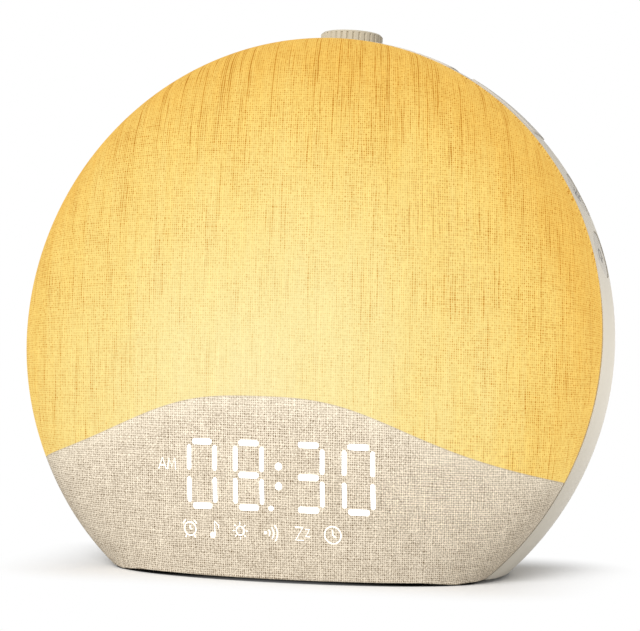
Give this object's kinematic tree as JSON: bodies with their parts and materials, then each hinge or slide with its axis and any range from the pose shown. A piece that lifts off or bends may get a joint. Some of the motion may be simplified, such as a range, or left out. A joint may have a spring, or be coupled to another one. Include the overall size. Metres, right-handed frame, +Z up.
{
  "type": "sunrise alarm clock",
  "caption": "Leaning round alarm clock with a linen-covered glowing dome, number display under a hill line, side keys and a fluted knob on top.",
  "frame": {"origin": "on the table, on the underside of the rubber pad, below the middle of the fabric rim", "axes": "+X to the right as seen from the front, -Y towards the person in front, +Z up"},
  "size_m": [0.18, 0.0892, 0.1594],
  "materials": {
    "linen": "woven linen",
    "opal": "opal diffusing plastic",
    "white_plastic": "moulded",
    "black_plastic": "moulded",
    "white_board": "white solder mask",
    "green_board": "green solder mask",
    "led_yellow": "phosphor",
    "led_white": "phosphor",
    "shell_plastic": "fine spark texture",
    "knob_plastic": "fine spark texture",
    "key_plastic": "fine spark texture",
    "rubber": "matte",
    "screw_steel": "zinc plated",
    "chip_plastic": "moulded",
    "cell_steel": "bright",
    "foam": "closed-cell foam",
    "speaker_steel": "black",
    "speaker_paper": "pressed paper",
    "magnet": "ferrite",
    "strip_film": "polyimide film",
    "encoder_metal": "bright",
    "switch_plunger": "moulded"
  },
  "bodies": {
    "case": {"front_fabric": "linen", "diffuser_dome": "opal", "clamp_ring": "white_plastic", "light_tray": "white_plastic", "hill_wall": "black_plastic", "lamp_board": "white_board", "lamp_leds": "led_yellow", "display_block": "black_plastic", "display_board": "green_board", "display_leds": "led_white", "rear_shell": "shell_plastic", "base_pad": "rubber", "front_screws": "screw_steel", "board_screws": "screw_steel", "main_board": "green_board", "main_chips": "chip_plastic", "cell_holder": "black_plastic", "coin_cell": "cell_steel", "speaker_gasket": "foam", "speaker_frame": "speaker_steel", "speaker_cone": "speaker_paper", "speaker_magnet": "magnet", "inlet_shell": "cell_steel", "inlet_tongue": "black_plastic", "power_board": "green_board", "key_bracket": "white_plastic", "key_strip": "strip_film", "switch_bodies": "chip_plastic", "encoder_body": "encoder_metal", "encoder_washer": "cell_steel", "encoder_nut": "cell_steel"},
    "detent_rotor": {"encoder_rotor": "black_plastic"},
    "knob": {"encoder_shaft": "encoder_metal", "knob": "knob_plastic"},
    "bar_key_upper": {"bar_key_upper": "key_plastic", "bar_plunger_upper": "switch_plunger"},
    "bar_key_lower": {"bar_key_lower": "key_plastic", "bar_plunger_lower": "switch_plunger"},
    "pill_key_upper": {"pill_key_upper": "key_plastic", "pill_plunger_upper": "switch_plunger"},
    "pill_key_lower": {"pill_key_lower": "key_plastic", "pill_plunger_lower": "switch_plunger"}
  },
  "joints": [
    {"name": "knob_turn", "type": "hinge", "parent": "case", "child": "detent_rotor", "pos_m": [0, 0.03612, 0.14309], "axis": [0, 0.1681, 0.9858], "continuous": true},
    {"name": "knob_press", "type": "slide", "parent": "detent_rotor", "child": "knob", "axis": [0, -0.1681, -0.9858], "range_m": [0, 0.0005], "stiffness_N_per_m": 800, "springref_m": -0.001},
    {"name": "bar_key_upper_press", "type": "slide", "parent": "case", "child": "bar_key_upper", "axis": [-0.2924, -0.1608, -0.9427], "range_m": [0, 0.0006], "stiffness_N_per_m": 500, "springref_m": -0.001},
    {"name": "bar_key_lower_press", "type": "slide", "parent": "case", "child": "bar_key_lower", "axis": [-0.6171, -0.1323, -0.7757], "range_m": [0, 0.0006], "stiffness_N_per_m": 500, "springref_m": -0.001},
    {"name": "pill_key_upper_press", "type": "slide", "parent": "case", "child": "pill_key_upper", "axis": [-0.8644, -0.0845, -0.4957], "range_m": [0, 0.0006], "stiffness_N_per_m": 500, "springref_m": -0.001},
    {"name": "pill_key_lower_press", "type": "slide", "parent": "case", "child": "pill_key_lower", "axis": [-0.9511, -0.0519, -0.3046], "range_m": [0, 0.0006], "stiffness_N_per_m": 500, "springref_m": -0.001}
  ]
}
